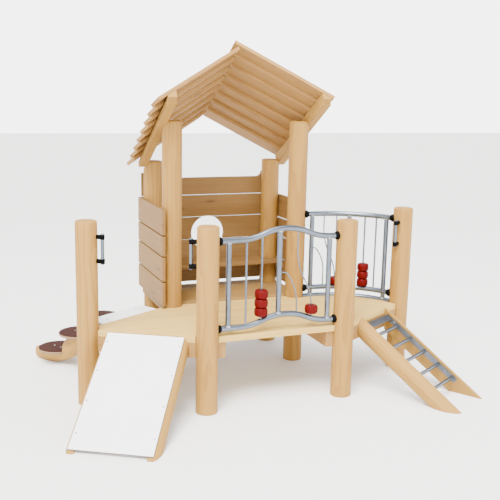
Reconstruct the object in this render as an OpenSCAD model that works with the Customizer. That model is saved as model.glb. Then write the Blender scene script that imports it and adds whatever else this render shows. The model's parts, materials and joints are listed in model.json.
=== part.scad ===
// Timber playground climbing unit: a low six-sided deck on round posts with a
// roofed play house behind it, a ramp, a rung ladder, a log stair and two
// steel bead railings.  Millimetres, +Z up, ground at z = 0.

/* [Posts] */
// Diameter of every round post
post_d = 140; // [120:1:150]
// Height of the four low posts
post_low_h = 1210; // [1180:10:1300]
// Height of the two front house posts
post_front_h = 1816; // [1700:1:1820]
// Height of the two rear house posts
post_rear_h = 1493; // [1420:1:1500]
// Bevel round the top of each post
post_bevel = 8; // [2:1:15]

/* [Plan] */
// Post spacing along the front railing and the house front
front_w = 965; // [940:5:1000]
// Post spacing from the front railing to the house front
deck_d = 800; // [780:5:820]
// How far each side tip post stands outside the front posts
tip_reach = 676; // [650:2:700]
// Post spacing from the front to the rear of the house
house_d = 520; // [500:5:540]
// Sideways shift from the deck's centre to the middle of the whole outline
origin_shift_x = 23.3; // [-60:0.1:60]
// Front-to-back shift from the deck's centre to the middle of the outline
origin_shift_y = -99.2; // [-120:0.1:60]

/* [Deck] */
// Height of the walking surface
deck_top = 500; // [480:5:520]
// Thickness of a deck plank
plank_t = 40; // [28:1:45]
// Gap between neighbouring planks
plank_gap = 4; // [2:0.5:8]
// Planks from the front railing to the house
deck_rows = 8; // [6:1:9]
// Planks on the house floor
floor_rows = 6; // [4:1:7]
// How far the deck reaches outside the post centre lines
deck_margin = 15; // [8:1:25]
// Clearance of planks round a post
notch_gap = 3; // [1:0.5:6]
// Width of a joist
joist_w = 56; // [45:1:60]
// Height of a joist
joist_h = 110; // [90:1:120]
// Width of an edge beam
beam_w = 45; // [38:1:50]
// Height of an edge beam
beam_h = 100; // [80:1:110]

/* [House] */
// Thickness of a wall plank
wall_t = 25; // [18:1:30]
// Height of the lowest wall plank above the deck
wall_lift = 20; // [5:1:30]
// Heights of the side wall planks, from the lowest up
side_courses = [170, 170, 140, 180]; // [100:5:200]
// Gap between side wall planks
side_gap = 10; // [4:1:15]
// Left wall planks ahead of the front post centre
wall_front_over = 90; // [75:1:110]
// Right wall planks behind the front post centre, clear of the side railing
wall_right_start = 36; // [32:1:45]
// Side wall planks behind the rear post centres
wall_rear_over = 80; // [72:1:95]
// Heights of the four lower rear wall planks, from the lowest up
rear_courses = [170, 160, 175, 170]; // [100:5:200]
// Height of the top rear wall plank
rear_top_h = 135; // [100:5:160]
// Gap between rear wall planks
rear_gap = 5; // [3:1:10]
// Height of the raised ends of the top rear plank
ear_h = 42; // [20:1:60]
// Diameter of the round window
window_d = 270; // [200:5:300]
// Window's centre to the right of the middle
window_x = -17; // [-40:1:40]
// Height of the window's centre
window_z = 908; // [880:1:940]
// Height of the bench seat's top
bench_top = 702; // [660:1:740]
// Depth of the bench seat
bench_d = 220; // [180:5:260]
// Thickness of the bench seat
bench_t = 28; // [20:1:35]
// Section of the bench cleats
cleat = 40; // [30:1:45]

/* [Roof] */
// Downward slope of the ridge towards the rear
roof_tilt = 32; // [31:0.5:33]
// Slope of each roof half across the ridge, in the tilted roof
roof_pitch = 33; // [32:0.5:34]
// Ridge start behind the deck's centre
ridge_y = 317; // [300:1:330]
// Height of the ridge's underside at its front
ridge_z = 2316; // [2310:1:2360]
// Number of boards on each roof half
roof_rows = 8; // [6:1:9]
// Exposed width of a roof board
roof_step = 121; // [110:1:130]
// Full width of a roof board
roof_board_w = 145; // [135:1:160]
// Thickness of a roof board
roof_board_t = 24; // [20:1:25]
// Length of a right roof board
roof_board_l = 795; // [785:5:850]
// Length of a left roof board
roof_left_l = 750; // [730:5:800]
// How far the right boards run over the ridge
roof_over = 70; // [30:1:75]
// Width of an eave beam
eave_w = 65; // [50:1:70]
// Height of an eave beam's outer face
eave_h = 40; // [30:1:60]
// Inner face of the eave beams from the middle
eave_x = 530; // [528:1:545]

/* [Railings] */
// Diameter of the rail tubes
rail_d = 38; // [32:1:42]
// Diameter of the thick uprights
upright_d = 34; // [28:1:38]
// Diameter of the thin bars and bead wires
bar_d = 13; // [10:0.5:14]
// Diameter of the curved wires
wire_d = 9; // [8:0.5:12]
// Height of the front railing's upper tube
front_top_z = 1110; // [1080:5:1140]
// Height of the front railing's lower tube
front_low_z = 545; // [540:1:570]
// Rise of the wave in the front tubes
wave_h = 64; // [40:1:80]
// Half length of the wave
wave_l = 315; // [300:1:330]
// Crest of the wave, to the right of the middle
wave_x = 45; // [20:1:60]
// Height of the side railing's upper tube
side_top_z = 1130; // [1100:5:1150]
// Height of the side railing's lower tube
side_low_z = 565; // [560:1:580]
// Height of the side railing's toe tube
side_toe_z = 500; // [495:1:510]
// Angle at which the bowed side tubes leave the posts
bow_angle = 32; // [28:1:36]
// Straight tube at each end of a bowed tube
bow_stub = 30; // [20:1:40]
// Diameter of the round plastic rail sockets
socket_d = 58; // [54:1:60]

/* [Beads] */
// Diameter of a bead
bead_d = 88; // [70:1:92]
// Height of a bead
bead_h = 58; // [45:1:60]
// Rounding of a bead's edges
bead_round = 14; // [8:1:18]
// Diameter of a bead's bore
bead_bore = 17; // [16:0.5:20]
// Height at which the bead wires start to curve
wire_bend_z = 1030; // [1000:5:1040]

/* [Ramp and ladder] */
// Slope of the ramp and the ladder
slope = 33; // [30:1:38]
// Width of the ramp panel
ramp_w = 500; // [450:10:520]
// Thickness of the white panels
panel_t = 15; // [10:1:20]
// Diameter of the half logs
log_d = 130; // [110:5:140]
// Gap between the ramp's half logs
ramp_log_gap = 430; // [380:10:450]
// Gap between the ladder's half logs
ladder_log_gap = 315; // [300:5:340]
// Number of ladder rungs
rungs = 5; // [4:1:5]
// Diameter of a rung
rung_d = 25; // [20:1:30]
// First rung from the top of the ladder
rung_start = 155; // [130:5:170]
// Spacing of the rungs
rung_step = 130; // [120:5:140]

/* [Stair] */
// Diameter of the stair log
stair_log_d = 150; // [130:5:160]
// Reach of the stair log's curve from the deck
stair_reach = 950; // [920:10:980]
// Height of the stair log's axis at the deck
stair_high = 400; // [395:1:405]
// Steepest angle of the stair log
stair_turn = 41; // [40:0.5:42]
// Diameter of a tread
tread_d = 280; // [240:10:290]
// Thickness of a tread
tread_t = 18; // [12:1:24]
// Top of the lowest tread
tread_first = 115; // [105:5:125]
// Rise from tread to tread
tread_rise = 165; // [155:5:170]
// Distance between tread centres
tread_going = 240; // [230:5:250]
// Centre of the highest tread from the deck
tread_near = 320; // [315:5:330]
// Length of the white entry plate
entry_l = 500; // [420:10:520]
// Width of the white entry plate
entry_w = 150; // [120:5:155]

/* [Grab bars and screws] */
// Height of the middle of the grab bars
grab_z = 1030; // [980:5:1060]
// Spacing of a grab bar's feet
grab_gap = 156; // [130:1:180]
// Reach of a grab bar's feet from the post
grab_reach = 52; // [45:1:60]
// Diameter of a grab bar
grab_d = 22; // [18:1:25]
// Diameter of a grab bar's feet
foot_d = 30; // [28:1:34]
// Diameter of a screw head
screw_d = 12; // [8:1:14]
// Height of a screw head
screw_h = 3; // [2:0.5:4]

/* [Hidden] */
$fn = 64;
touch = 0.3;
far = 2000;
bend_lap = 1.5;
bend_sleeve = 0.2;
bend_gap = 12;
post_r = post_d / 2;
rail_r = rail_d / 2;
left_tip = [-front_w / 2 - tip_reach, 0];
right_tip = [front_w / 2 + tip_reach, 0];
front_left = [-front_w / 2, -deck_d / 2];
front_right = [front_w / 2, -deck_d / 2];
house_left = [-front_w / 2, deck_d / 2];
house_right = [front_w / 2, deck_d / 2];
rear_left = [-front_w / 2, deck_d / 2 + house_d];
rear_right = [front_w / 2, deck_d / 2 + house_d];
all_posts = [left_tip, right_tip, front_left, front_right, house_left, house_right, rear_left, rear_right];
deck_under = deck_top - plank_t;
tip_side = norm(front_left - left_tip);
wall_x = front_w / 2 + post_r + touch;
wall_base = deck_top + wall_lift;
wall_end = rear_left.y + wall_rear_over;
rear_y = rear_left.y + post_r + touch;
rear_half = wall_x - 1;
inside_x = wall_x - 4;
inside_y = rear_y - 4;
roof_lift = asin((roof_board_t + 0.4) / roof_step);
roof_left_start = (roof_board_t + roof_board_w * sin(roof_lift)) / tan(2 * roof_pitch) + 1;
eave_base = -(eave_x + eave_w) * tan(roof_pitch) - eave_h;
eave_l = roof_rows * roof_step - 10;
wave_turn = 2 * atan(wave_h / (wave_l + bend_gap));
wave_r = (wave_l - bend_gap * cos(wave_turn)) / (2 * sin(wave_turn));
bow_half = tip_side / 2 - post_r;
bow_r = (bow_half - bow_stub * cos(bow_angle)) / sin(bow_angle);
bow_out = bow_stub * sin(bow_angle) + bow_r * (1 - cos(bow_angle));
bead_flat = bead_d / 2 - bead_round;
bead_play = 0.5;
tube_in_post = 10;
toe_gap = 6;
toe_clear = 60;
eave_foot = 18;
cleat_l = 75;
batten = 45;
cleat_clear = 8;
log_start = 200;
panel_top_gap = 8;
panel_foot_gap = 12;
log_lap = 12;
front_post_x = [-345, 0, 355];
front_bar_x = -226;
front_bead_x = -120;
front_wave_top_x = 128;
front_wave_low_x = 238;
front_hook_z = 886;
side_post_in = 118;
side_post_s = [side_post_in, tip_side / 2, tip_side - side_post_in];
side_bar_s = 594;
side_bead_s = 510;
side_wave_top_s = 205;
side_wave_low_s = 300;
side_plain_top_s = 298;
side_plain_low_s = 350;
side_hook_z = 870;
hook_reach = 130;
side_hook_reach = 100;
hook_tight = 30;
hook_wide = 350;
hook_turn = 55;
stair_level = 100;
stair_mid = 60;
stair_tail = 20;
riser_gap = 3;
stair_r = (stair_reach - stair_level - stair_mid * cos(stair_turn)) / (2 * sin(stair_turn));
strip_t = 5;
strip_h = 40;
strip_z = -55;
strip_start = 45;
strip_over = 35;
cross_plate_w = 50;
rung_z = -34;
bearer_w = 45;
bearer_h = 70;
bearer_inset = 15;
bearer_y = [-190, 145];
tread_bevel = 2;
grab_over = 22;
grab_x = post_r + grab_reach - foot_d / 2;
ramp_screw_x = [85, 310, 535, 760];
ramp_screw_in = 16;
plate_screw_x = [50, 120];
plate_screw_y = [-167, 167];
tread_screw_x = [-35, 35];
strip_bolt_x = [120, 610];
strip_bolt_z = -31;
rear_screw_z = 75;

// ---- placing helpers -------------------------------------------------------

function heading(p, q) = atan2(q.y - p.y, q.x - p.x);
function middle(p, q) = (p + q) / 2;

// Moves the deck-centred model so that its outline is centred on the origin
module from_centre() {
    translate([origin_shift_x, origin_shift_y, 0]) children();
}

// X runs from p towards q
module along(p, q) {
    translate([p.x, p.y, 0]) rotate([0, 0, heading(p, q)]) children();
}

// X points out of the deck from the middle of side p-q, Y runs along the side
module off_side(p, q) {
    m = middle(p, q);
    translate([m.x, m.y, 0]) rotate([0, 0, heading(p, q) - 90]) children();
}

// X points down the slope, Z out of the sloping surface
module down_slope(p, q) {
    off_side(p, q) translate([deck_margin + touch, 0, deck_top]) rotate([0, slope, 0]) children();
}

// Y follows the ridge down to the rear, X stays level
module roof_frame() {
    translate([0, ridge_y, ridge_z]) rotate([-roof_tilt, 0, 0]) children();
}

// Mirrors a right-hand piece to the left where side is negative
module on_hand(side) {
    mirror([side < 0 ? 1 : 0, 0, 0]) children();
}

// Solid at every post, a little larger than the post, to cut round it
module post_cuts(gap) {
    for (p = all_posts) translate([p.x, p.y, 0]) circle(r = post_r + gap);
}

// Tall cylinder at one post, a touch larger than it, to cut round it
module post_core(p) {
    translate([p.x, p.y, 0]) cylinder(r = post_r + touch, h = far);
}

// ---- bent tube -------------------------------------------------------------

// Follows moves [radius, angle]: radius 0 means a straight run of that length,
// otherwise an arc that turns left by a positive angle, starting along +X.
// A straight run laps a hair over the arcs beside it, so that they join
module bent_tube(r, moves, i = 0) {
    if (i < len(moves)) {
        radius = moves[i][0];
        step = moves[i][1];
        if (radius == 0) {
            before = i > 0 ? bend_lap : 0;
            after = i < len(moves) - 1 ? bend_lap : 0;
            translate([-before, 0, 0]) rotate([0, 90, 0])
                cylinder(r = r + bend_sleeve, h = before + step + after);
            translate([step, 0, 0]) bent_tube(r, moves, i + 1);
        } else {
            turn = abs(step);
            hand = sign(step);
            mirror([0, hand < 0 ? 1 : 0, 0]) translate([0, radius, 0]) rotate([0, 0, -90])
                rotate_extrude(angle = turn, $fn = 180) translate([radius, 0]) circle(r = r, $fn = 48);
            translate([radius * sin(turn), hand * radius * (1 - cos(turn)), 0]) rotate([0, 0, step])
                bent_tube(r, moves, i + 1);
        }
    }
}

// ---- posts and frame -------------------------------------------------------

module round_post(at, h) {
    translate([at.x, at.y, 0]) {
        cylinder(d = post_d, h = h - post_bevel);
        translate([0, 0, h - post_bevel]) cylinder(d1 = post_d, d2 = post_d - 2 * post_bevel, h = post_bevel);
    }
}

// A house post has a flat seat that the eave beam lies against
module house_post(at, h) {
    difference() {
        round_post(at, h);
        on_hand(at.x) roof_frame()
            translate([eave_x - touch, -far / 2, eave_base - touch]) cube([far, 2 * far, far]);
    }
}

module post_left_tip() { color("burlywood") from_centre() round_post(left_tip, post_low_h); }
module post_right_tip() { color("burlywood") from_centre() round_post(right_tip, post_low_h); }
module post_front_left() { color("burlywood") from_centre() round_post(front_left, post_low_h); }
module post_front_right() { color("burlywood") from_centre() round_post(front_right, post_low_h); }
module post_house_left() { color("burlywood") from_centre() house_post(house_left, post_front_h); }
module post_house_right() { color("burlywood") from_centre() house_post(house_right, post_front_h); }
module post_rear_left() { color("burlywood") from_centre() house_post(rear_left, post_rear_h); }
module post_rear_right() { color("burlywood") from_centre() house_post(rear_right, post_rear_h); }

// Joist against the inner side of the front, house and rear posts of one hand
module joist(side) {
    on_hand(side) translate([front_w / 2 - post_r - touch - joist_w, front_left.y, deck_under - joist_h])
        cube([joist_w, inside_y - front_left.y, joist_h]);
}

module joists() { color("tan") from_centre() for (side = [-1, 1]) joist(side); }

// Beam under one slanting deck edge, scribed to the posts at its ends
module edge_beam(p, q) {
    translate([0, 0, deck_under - beam_h]) linear_extrude(beam_h) difference() {
        translate(p) rotate(heading(p, q)) translate([0, -deck_margin]) square([norm(q - p), beam_w]);
        post_cuts(touch);
    }
}

module beam_ramp() { color("tan") from_centre() edge_beam(left_tip, front_left); }
module beam_ladder() { color("tan") from_centre() edge_beam(front_right, right_tip); }
module beam_side() { color("tan") from_centre() edge_beam(right_tip, house_right); }
module beam_stair() { color("tan") from_centre() edge_beam(house_left, left_tip); }

// ---- deck and floor --------------------------------------------------------

// Strip of the deck outside one side's centre line
module deck_edge(p, q) {
    translate(p) rotate(heading(p, q)) translate([0, -deck_margin]) square([norm(q - p), deck_margin + 1]);
}

// Plan of the space that the bowed toe tube takes, with room round it
module toe_room() {
    translate(right_tip) rotate(heading(right_tip, house_right)) intersection() {
        translate([tip_side / 2, bow_r - bow_out]) difference() {
            circle(r = bow_r + rail_r + toe_clear, $fn = 180);
            circle(r = bow_r - rail_r - toe_gap, $fn = 180);
        }
        translate([0, -bow_out - rail_r - toe_clear]) square([tip_side, bow_out + rail_r + 2 * toe_clear]);
    }
}

// Plan of the deck between the slanting edges, bowed on the side railing
module deck_plan() {
    difference() {
        union() {
            polygon([left_tip, front_left, front_right, right_tip, house_right, house_left]);
            deck_edge(front_left, front_right);
            deck_edge(left_tip, front_left);
            deck_edge(front_right, right_tip);
            deck_edge(house_left, left_tip);
            translate(right_tip) rotate(heading(right_tip, house_right)) intersection() {
                translate([tip_side / 2, bow_r - bow_out]) circle(r = bow_r, $fn = 180);
                translate([0, -far]) square([tip_side, far + 1]);
            }
        }
        toe_room();
        post_cuts(notch_gap);
    }
}

// Rows of planks across the plan given as a child, from y0 to y1
module plank_rows(y0, y1, rows) {
    pitch = (y1 - y0) / rows;
    for (i = [0 : rows - 1]) {
        translate([0, 0, deck_under]) linear_extrude(plank_t) intersection() {
            translate([-far, y0 + i * pitch]) square([2 * far, pitch - plank_gap]);
            children();
        }
    }
}

module deck_planks() {
    color("khaki") from_centre() plank_rows(front_left.y - deck_margin, house_left.y, deck_rows) deck_plan();
}

module floor_planks() {
    color("khaki") from_centre() plank_rows(house_left.y, inside_y + plank_gap, floor_rows) difference() {
        translate([-inside_x, house_left.y]) square([2 * inside_x, inside_y - house_left.y]);
        post_cuts(notch_gap);
    }
}

// ---- house -----------------------------------------------------------------

// Height of plank i in a stack of planks with a gap between them
function stacked(heights, gap, i) = i == 0 ? 0 : stacked(heights, gap, i - 1) + heights[i - 1] + gap;

// Planks of one side wall, from a place behind the front post centre
module side_wall(side, start) {
    y = house_left.y + start;
    on_hand(side) for (i = [0 : len(side_courses) - 1]) {
        translate([wall_x, y, wall_base + stacked(side_courses, side_gap, i)])
            cube([wall_t, wall_end - y, side_courses[i]]);
    }
}

module wall_left() { color("peru") from_centre() side_wall(-1, -wall_front_over); }
module wall_right() { color("peru") from_centre() side_wall(1, wall_right_start); }

// Upright batten scribed to the post, which the right wall planks are screwed to
module wall_batten() {
    rows = len(side_courses);
    h = stacked(side_courses, side_gap, rows) - side_gap;
    color("tan") from_centre() translate([0, 0, wall_base]) linear_extrude(h) difference() {
        translate([wall_x - touch - batten, house_right.y + wall_right_start]) square([batten, batten]);
        post_cuts(touch);
    }
}

// Upright outline of the top rear plank: its ends rise in a concave sweep
module rear_top_plank() {
    ear_x = front_w / 2 - post_r - 20;
    translate([-rear_half, 0]) square([2 * rear_half, rear_top_h]);
    for (side = [-1, 1]) mirror([side < 0 ? 1 : 0, 0]) difference() {
        translate([ear_x, rear_top_h - 1]) square([rear_half - ear_x, ear_h + 1]);
        translate([ear_x, rear_top_h + ear_h]) circle(r = ear_h);
    }
}

module wall_rear() {
    color("peru") from_centre() difference() {
        for (i = [0 : len(rear_courses) - 1]) {
            translate([-rear_half, rear_y, wall_base + stacked(rear_courses, rear_gap, i)])
                cube([2 * rear_half, wall_t, rear_courses[i]]);
        }
        translate([window_x, rear_y - wall_t, window_z]) rotate([-90, 0, 0])
            cylinder(d = window_d, h = 3 * wall_t);
    }
}

module wall_rear_top() {
    low = wall_base + stacked(rear_courses, rear_gap, len(rear_courses));
    color("peru") from_centre() translate([0, rear_y + wall_t, low])
        rotate([90, 0, 0]) linear_extrude(wall_t) rear_top_plank();
}

module bench_seat() {
    color("peru") from_centre() translate([0, 0, bench_top - bench_t]) linear_extrude(bench_t) difference() {
        translate([-inside_x, inside_y - bench_d]) square([2 * inside_x, bench_d]);
        post_cuts(notch_gap);
    }
}

module bench_cleats() {
    low = bench_top - bench_t - cleat - touch;
    between = front_w - post_d - 2 * cleat_clear;
    color("tan") from_centre() {
        translate([-between / 2, rear_y - touch - cleat, low]) cube([between, cleat, cleat]);
        for (side = [-1, 1]) {
            on_hand(side) translate([wall_x - touch - cleat, inside_y - bench_d, low])
                cube([cleat, cleat_l, cleat]);
        }
    }
}

// ---- roof ------------------------------------------------------------------

// Lapped boards across one roof half, each one over the next towards the rear
module roof_half(side, start, l) {
    on_hand(side) roof_frame() rotate([0, roof_pitch, 0]) for (i = [0 : roof_rows - 1]) {
        translate([start, i * roof_step, 0]) rotate([roof_lift, 0, 0])
            cube([l, roof_board_w, roof_board_t]);
    }
}

module roof_left() { color("tan") from_centre() roof_half(-1, roof_left_start, roof_left_l); }
module roof_right() { color("tan") from_centre() roof_half(1, -roof_over, roof_board_l); }

// Beam under the eave: its top follows the boards, its front foot is bevelled
module eave(side) {
    inner = eave_x;
    outer = eave_x + eave_w;
    on_hand(side) roof_frame() difference() {
        translate([0, eave_l, 0]) rotate([90, 0, 0]) linear_extrude(eave_l) polygon([
            [inner, eave_base],
            [outer, eave_base],
            [outer, -outer * tan(roof_pitch) - touch],
            [inner, -inner * tan(roof_pitch) - touch]
        ]);
        translate([inner - 1, 0, eave_base]) rotate([45, 0, 0]) translate([0, -2 * eave_foot, -eave_foot])
            cube([eave_w + 2, 4 * eave_foot, 2 * eave_foot]);
    }
}

module eaves() { color("burlywood") from_centre() for (side = [-1, 1]) eave(side); }

// ---- front railing ---------------------------------------------------------

// Rise of a wavy tube at x: an arc, a short straight and an arc each side of the
// crest, level outside them
function wave_at(x) =
    let (u = abs(x - wave_x), toe = wave_l - u, arc = wave_r * sin(wave_turn))
    u >= wave_l ? 0
    : toe < arc ? wave_r - sqrt(wave_r * wave_r - toe * toe)
    : u < arc ? wave_h - wave_r + sqrt(wave_r * wave_r - u * u)
    : wave_h / 2 + (wave_l / 2 - u) * tan(wave_turn);

// Resting height of a bead on the wavy lower tube: its rounded edge meets the
// tube's steep part on the uphill side
function wave_bead_z(x) =
    let (reach = bead_flat + bead_round * sin(wave_turn))
    front_low_z + wave_at(x + reach * sign(wave_x - x)) + (rail_r + bend_sleeve) / cos(wave_turn)
    - bead_round * (1 - cos(wave_turn)) + touch;

// Upright plane of the front railing: X right, Y up
module front_plane() {
    translate([0, front_left.y, 0]) rotate([90, 0, 0]) children();
}

module wavy_rail(z) {
    reach = front_w / 2 - post_r + tube_in_post;
    difference() {
        front_plane() translate([-reach, z, 0]) bent_tube(rail_r, [
            [0, reach + wave_x - wave_l],
            [wave_r, wave_turn],
            [0, bend_gap],
            [wave_r, -2 * wave_turn],
            [0, bend_gap],
            [wave_r, wave_turn],
            [0, reach - wave_x - wave_l]
        ]);
        for (p = [front_left, front_right]) post_core(p);
    }
}

// Straight rod between the two wavy tubes
module front_rod(x, d) {
    low = front_low_z + wave_at(x);
    translate([x, front_left.y, low]) cylinder(d = d, h = front_top_z + wave_at(x) - low);
}

module front_rail_top() { color("silver") from_centre() wavy_rail(front_top_z); }
module front_rail_low() { color("silver") from_centre() wavy_rail(front_low_z); }

module front_uprights() {
    color("silver") from_centre() for (x = front_post_x) front_rod(x, upright_d);
}

module front_bars() {
    color("silver") from_centre() for (x = [front_bar_x, front_bead_x]) front_rod(x, bar_d);
}

// S-shaped bead wire drawn downwards from the top: aside is its sideways shift
module swan_wire(top, bend_top, bend_low, low, aside) {
    drop = bend_top - bend_low;
    turn = 2 * atan(aside / (drop + bend_gap));
    radius = (drop - bend_gap * cos(turn)) / (2 * sin(turn));
    translate([0, top, 0]) rotate([0, 0, -90]) bent_tube(wire_d / 2, [
        [0, top - bend_top],
        [radius, turn],
        [0, bend_gap],
        [radius, -turn],
        [0, bend_low - low]
    ]);
}

// Hooked wire that leaves an upright sideways and curves down to the low tube
module hook_wire(top, low, reach) {
    wide = hook_wide * reach / hook_reach;
    rest = 90 - hook_turn;
    stub = reach - (hook_tight - wide) * sin(hook_turn) - bend_gap * cos(hook_turn) - wide;
    drop = hook_tight + (wide - hook_tight) * cos(hook_turn) + bend_gap * sin(hook_turn);
    translate([0, top, 0]) bent_tube(wire_d / 2, [
        [0, stub],
        [hook_tight, -hook_turn],
        [0, bend_gap],
        [wide, -rest],
        [0, top - low - drop]
    ]);
}

module front_wires() {
    wave_low = wave_bead_z(front_wave_low_x) + bead_h / 2;
    color("silver") from_centre() front_plane() {
        translate([front_wave_top_x, 0, 0]) swan_wire(
            front_top_z + wave_at(front_wave_top_x), wire_bend_z, wave_low,
            front_low_z + wave_at(front_wave_low_x), front_wave_low_x - front_wave_top_x
        );
        hook_wire(front_hook_z, front_low_z + wave_at(hook_reach), hook_reach);
    }
}

// Ball-shaped plastic socket round a tube's end: X leaves the post at the angle
module socket(z, angle) {
    difference() {
        translate([post_r, 0, z]) rotate([0, 0, angle]) rotate([0, 90, 0]) difference() {
            sphere(d = socket_d);
            translate([0, 0, -socket_d]) cylinder(r = rail_r + bend_sleeve + touch / 2, h = 2 * socket_d);
        }
        cylinder(r = post_r + touch, h = far);
    }
}

module front_sockets() {
    color("black") from_centre() for (z = [front_top_z, front_low_z]) {
        along(front_left, front_right) socket(z, 0);
        along(front_right, front_left) socket(z, 0);
    }
}

// Round-edged bead with its bore, standing on z = 0
module bead() {
    side = bead_d / 2;
    rotate_extrude() difference() {
        union() {
            square([side - bead_round, bead_h]);
            translate([0, bead_round]) square([side, bead_h - 2 * bead_round]);
            translate([side - bead_round, bead_round]) circle(r = bead_round);
            translate([side - bead_round, bead_h - bead_round]) circle(r = bead_round);
        }
        square([bead_bore / 2, bead_h]);
    }
}

// Bead i of the three on the front bead bar
module front_bead(i) {
    color("red") from_centre()
        translate([front_bead_x, front_left.y, wave_bead_z(front_bead_x) + i * (bead_h + bead_play)]) bead();
}

module front_bead_low() { front_bead(0); }
module front_bead_mid() { front_bead(1); }
module front_bead_high() { front_bead(2); }

module front_bead_wave() {
    color("red") from_centre()
        translate([front_wave_low_x, front_left.y, wave_bead_z(front_wave_low_x)]) bead();
}

// ---- side railing ----------------------------------------------------------

// Distance of the bowed railing outside its posts' centre line at s
function bow_at(s) = sqrt(bow_r * bow_r - pow(s - tip_side / 2, 2)) - bow_r + bow_out;

// X runs from the house post to the right tip, Y points out of the deck
module side_frame() {
    along(house_right, right_tip) children();
}

module bowed_rail(z) {
    difference() {
        side_frame() translate([post_r, 0, z]) rotate([0, 0, bow_angle]) translate([-tube_in_post, 0, 0])
            bent_tube(rail_r, [
                [0, bow_stub + tube_in_post],
                [bow_r, -2 * bow_angle],
                [0, bow_stub + tube_in_post]
            ]);
        for (p = [house_right, right_tip]) post_core(p);
    }
}

module side_rail_top() { color("silver") from_centre() bowed_rail(side_top_z); }
module side_rail_low() { color("silver") from_centre() bowed_rail(side_low_z); }
module side_rail_toe() { color("silver") from_centre() bowed_rail(side_toe_z); }

// Straight rod from a height up to the upper bowed tube
module side_rod(s, d, low) {
    side_frame() translate([s, bow_at(s), low]) cylinder(d = d, h = side_top_z - low);
}

module side_uprights() {
    color("silver") from_centre() for (s = side_post_s) side_rod(s, upright_d, side_toe_z);
}

module side_bars() {
    color("silver") from_centre() for (s = [side_bar_s, side_bead_s]) side_rod(s, bar_d, side_low_z);
}

// Upright plane through two places on the bow: X from the first to the second, Y up
module bow_plane(s0, s1) {
    side_frame() along([s0, bow_at(s0)], [s1, bow_at(s1)]) rotate([90, 0, 0]) children();
}

side_bead_z = side_low_z + rail_r + touch;

// Sideways shift of a wire between two places on the bow
function bow_shift(s0, s1) = norm([s1 - s0, bow_at(s1) - bow_at(s0)]);

module side_wires() {
    hook_s = side_post_s[0];
    color("silver") from_centre() {
        bow_plane(side_wave_top_s, side_wave_low_s)
            swan_wire(side_top_z, wire_bend_z, side_bead_z + bead_h / 2, side_low_z,
                bow_shift(side_wave_top_s, side_wave_low_s));
        bow_plane(side_plain_top_s, side_plain_low_s)
            swan_wire(side_top_z, wire_bend_z, side_bead_z + bead_h / 2, side_low_z,
                bow_shift(side_plain_top_s, side_plain_low_s));
        bow_plane(hook_s, hook_s + side_hook_reach) hook_wire(side_hook_z, side_low_z, side_hook_reach);
    }
}

module side_sockets() {
    color("black") from_centre() for (z = [side_top_z, side_low_z]) {
        along(house_right, right_tip) socket(z, bow_angle);
        along(right_tip, house_right) socket(z, -bow_angle);
    }
}

// Bead i of the three on the side bead bar
module side_bead(i) {
    color("red") from_centre() side_frame()
        translate([side_bead_s, bow_at(side_bead_s), side_bead_z + i * (bead_h + bead_play)]) bead();
}

module side_bead_low() { side_bead(0); }
module side_bead_mid() { side_bead(1); }
module side_bead_high() { side_bead(2); }

module side_bead_wave() {
    color("red") from_centre() side_frame()
        translate([side_wave_low_s, bow_at(side_wave_low_s), side_bead_z]) bead();
}

// ---- ramp and ladder -------------------------------------------------------

// Half log down the slope on one hand, cut off at the deck and on the ground
module half_log(p, q, side, gap, sink, planed) {
    intersection() {
        down_slope(p, q) difference() {
            translate([-log_start, side * gap / 2, -sink]) rotate([0, 90, 0]) cylinder(d = log_d, h = far);
            translate([-far / 2, side > 0 ? gap / 2 - log_d : -gap / 2, -log_d - sink])
                cube([2 * far, log_d, 2 * log_d + sink]);
            translate([-far / 2, -far / 2, -planed]) cube([2 * far, far, log_d]);
        }
        off_side(p, q) translate([deck_margin + touch, -far / 2, 0]) cube([far, far, deck_top]);
    }
}

module ramp_panel() {
    start = panel_t * tan(slope);
    l = (deck_top - panel_top_gap) / sin(slope) - panel_t / tan(slope) - panel_foot_gap - start;
    color("white") from_centre() down_slope(left_tip, front_left) translate([start, -ramp_w / 2, -panel_t])
        cube([l, ramp_w, panel_t]);
}

module ramp_log(side) {
    sink = panel_t + log_d / 2 - log_lap;
    half_log(left_tip, front_left, side, ramp_log_gap, sink, panel_t + touch);
}

module ramp_log_left() { color("burlywood") from_centre() ramp_log(-1); }
module ramp_log_right() { color("burlywood") from_centre() ramp_log(1); }

module ladder_log(side) {
    half_log(front_right, right_tip, side, ladder_log_gap, log_d / 2, 1);
}

module ladder_log_left() { color("burlywood") from_centre() ladder_log(-1); }
module ladder_log_right() { color("burlywood") from_centre() ladder_log(1); }

// Steel strips on the half logs' inner faces and the plate across their top
module ladder_strips() {
    inner = ladder_log_gap / 2 - touch - strip_t;
    l = rung_start + (rungs - 1) * rung_step + strip_over - strip_start;
    color("silver") from_centre() down_slope(front_right, right_tip) translate([strip_start, 0, strip_z]) {
        for (y = [inner, -inner - strip_t]) translate([0, y, 0]) cube([l, strip_t, strip_h]);
        translate([0, -inner, strip_h - strip_t]) cube([cross_plate_w, 2 * inner, strip_t]);
    }
}

module ladder_rungs() {
    inner = ladder_log_gap / 2 - touch - strip_t;
    color("silver") from_centre() down_slope(front_right, right_tip) for (i = [0 : rungs - 1]) {
        translate([rung_start + i * rung_step, inner, rung_z]) rotate([90, 0, 0])
            cylinder(d = rung_d, h = 2 * inner);
    }
}

// ---- stair -----------------------------------------------------------------

// Top of tread i, counted from the ground
function tread_top(i) = tread_first + i * tread_rise;
// Centre of tread i out from the deck
function tread_x(i) = tread_near + (2 - i) * tread_going;

// Sawn riser just behind tread i
function riser_x(i) = tread_x(i) - tread_d / 2 - riser_gap;

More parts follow.
